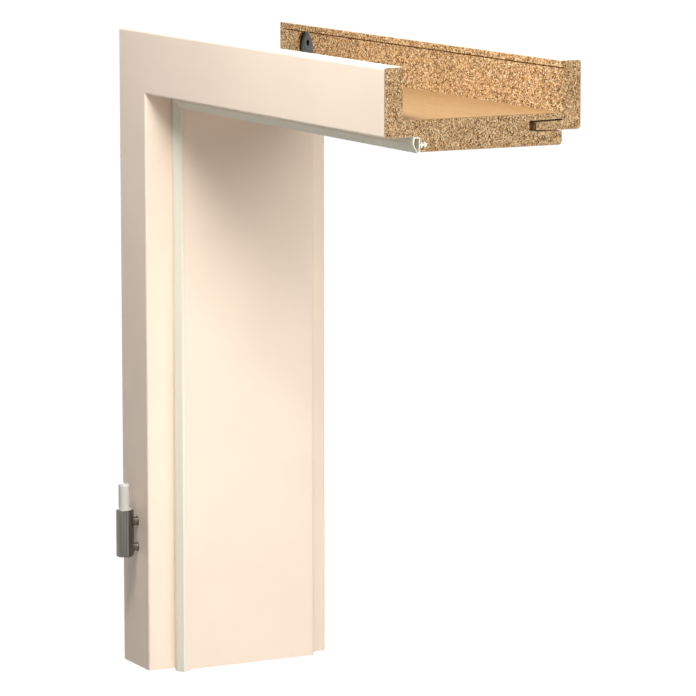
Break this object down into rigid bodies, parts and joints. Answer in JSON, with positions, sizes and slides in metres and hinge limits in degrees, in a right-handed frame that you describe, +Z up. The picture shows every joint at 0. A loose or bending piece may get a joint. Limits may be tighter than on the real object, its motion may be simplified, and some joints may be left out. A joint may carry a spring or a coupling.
{
  "type": "door frame",
  "caption": "Cut-away corner of a wrap-around interior door frame: mitred jamb and head with lining, casings, rebate seal, hinge frame part and push-in rear casing.",
  "frame": {"origin": "centre of the wall-side face of the jamb's lining", "axes": "+X from the wall into the doorway, +Y from the door's side through the wall, +Z up along the jamb"},
  "size_m": [0.547, 0.2145, 0.624],
  "materials": {
    "particleboard": "raw, flecked",
    "laminate": "satin",
    "wall_foil": "smooth, matt",
    "seal": "matt",
    "hinge_metal": "matt nickel-plated",
    "steel": "satin",
    "sleeve": "satin",
    "zinc": "cast",
    "dowel_wood": "raw"
  },
  "bodies": {
    "frame": {"jamb_front_casing": "particleboard", "jamb_front_laminate": "laminate", "jamb_lining": "particleboard", "jamb_lining_laminate": "laminate", "jamb_wall_foil": "wall_foil", "jamb_seal": "seal", "head_front_casing": "particleboard", "head_front_laminate": "laminate", "head_lining": "particleboard", "head_lining_laminate": "laminate", "head_wall_foil": "wall_foil", "head_seal": "seal", "hinge_knuckle": "hinge_metal", "hinge_pin": "steel", "hinge_stud_upper": "steel", "hinge_stud_lower": "steel", "hinge_receiver": "hinge_metal", "receiver_screws": "steel", "clamp_screws": "steel", "front_cam_housing": "zinc", "front_draw_bolt": "steel", "front_anchor_housing": "zinc", "lining_dowels": "dowel_wood"},
    "rear_trim": {"jamb_rear_casing": "particleboard", "jamb_rear_laminate": "laminate", "head_rear_casing": "particleboard", "head_rear_laminate": "laminate", "rear_cam_housing": "zinc", "rear_draw_bolt": "steel", "rear_anchor_housing": "zinc"},
    "sleeve": {"hinge_sleeve": "sleeve"},
    "rear_cam": {"rear_cam": "zinc"},
    "front_cam": {"front_cam": "zinc"}
  },
  "joints": [
    {"name": "rear_casing_slide", "type": "slide", "parent": "frame", "child": "rear_trim", "axis": [0, 1, 0], "range_m": [0, 0.02]},
    {"name": "sleeve_spin", "type": "hinge", "parent": "frame", "child": "sleeve", "pos_m": [-0.011, -0.1097, -0.1424], "axis": [0, 0, 1], "continuous": true},
    {"name": "rear_cam_turn", "type": "hinge", "parent": "rear_trim", "child": "rear_cam", "pos_m": [0.00722, 0.0868, 0.29357], "axis": [0, 1, 0], "range_deg": [-150, 0]},
    {"name": "front_cam_turn", "type": "hinge", "parent": "frame", "child": "front_cam", "pos_m": [0.00722, -0.0862, 0.29357], "axis": [0, 1, 0], "range_deg": [-150, 0]}
  ]
}
